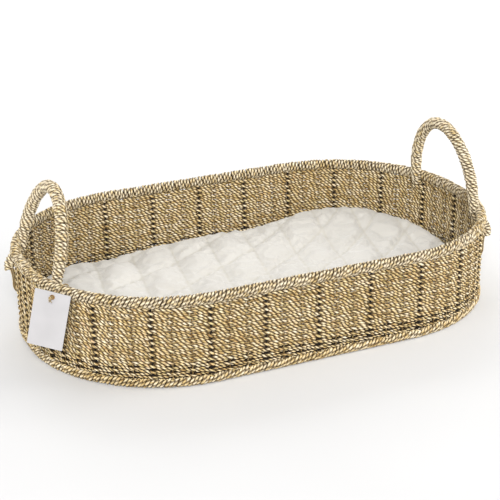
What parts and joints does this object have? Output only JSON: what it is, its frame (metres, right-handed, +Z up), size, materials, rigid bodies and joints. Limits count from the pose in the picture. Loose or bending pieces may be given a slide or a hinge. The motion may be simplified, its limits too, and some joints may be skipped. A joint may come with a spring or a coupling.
{
  "type": "moses basket",
  "caption": "Shallow woven seagrass basket with round ends on a wire frame, with arched end handles, a quilted cotton pad and a hang tag.",
  "frame": {"origin": "middle of the flat underside of the base, on the surface the basket stands on", "axes": "+X along the basket, +Y across it, +Z up"},
  "size_m": [0.7566, 0.4574, 0.25],
  "materials": {
    "seagrass": "twisted seagrass strand, straw with olive and tan streaks",
    "iron": "black painted iron wire",
    "cotton": "cream quilted cotton",
    "filling": "wadded filling",
    "card": "matt white card",
    "brass": "small rolled eyelet",
    "twine": "two-ply twine"
  },
  "bodies": {
    "basket": {"rim_wire": "iron", "base_wire": "iron", "stake_wire_01": "iron", "stake_wire_02": "iron", "stake_wire_03": "iron", "stake_wire_04": "iron", "stake_wire_05": "iron", "stake_wire_06": "iron", "stake_wire_07": "iron", "stake_wire_08": "iron", "stake_wire_09": "iron", "stake_wire_10": "iron", "stake_wire_11": "iron", "stake_wire_12": "iron", "stake_wire_13": "iron", "stake_wire_14": "iron", "stake_wire_15": "iron", "stake_wire_16": "iron", "stake_wire_17": "iron", "stake_wire_18": "iron", "stake_wire_19": "iron", "stake_wire_20": "iron", "stake_wire_21": "iron", "stake_wire_22": "iron", "stake_wire_23": "iron", "stake_wire_24": "iron", "cross_wire_1": "iron", "cross_wire_2": "iron", "cross_wire_3": "iron", "cross_wire_4": "iron", "cross_wire_5": "iron", "cross_wire_6": "iron", "cross_wire_7": "iron", "long_wire_1": "iron", "long_wire_2": "iron", "long_wire_3": "iron", "rim_braid": "seagrass", "wall_weave": "seagrass", "base_braid": "seagrass", "base_weave": "seagrass", "handle_left_core": "iron", "handle_left_wrap": "seagrass", "handle_left_front_tail": "seagrass", "handle_left_back_tail": "seagrass", "handle_right_core": "iron", "handle_right_wrap": "seagrass", "handle_right_front_tail": "seagrass", "handle_right_back_tail": "seagrass", "tag_tie": "twine"},
    "pad": {"pad_cover_bottom": "cotton", "pad_core": "filling", "pad_cover_top": "cotton"},
    "tag": {"tag_card": "card", "tag_eyelet": "brass"}
  },
  "joints": [
    {"name": "pad_lift", "type": "slide", "parent": "basket", "child": "pad", "axis": [0, 0, 1], "range_m": [0, 0.07]},
    {"name": "tag_swing", "type": "hinge", "parent": "basket", "child": "tag", "pos_m": [-0.3547, -0.1232, 0.1279], "axis": [-0.5299, -0.848, 0], "range_deg": [-75, 15]}
  ]
}
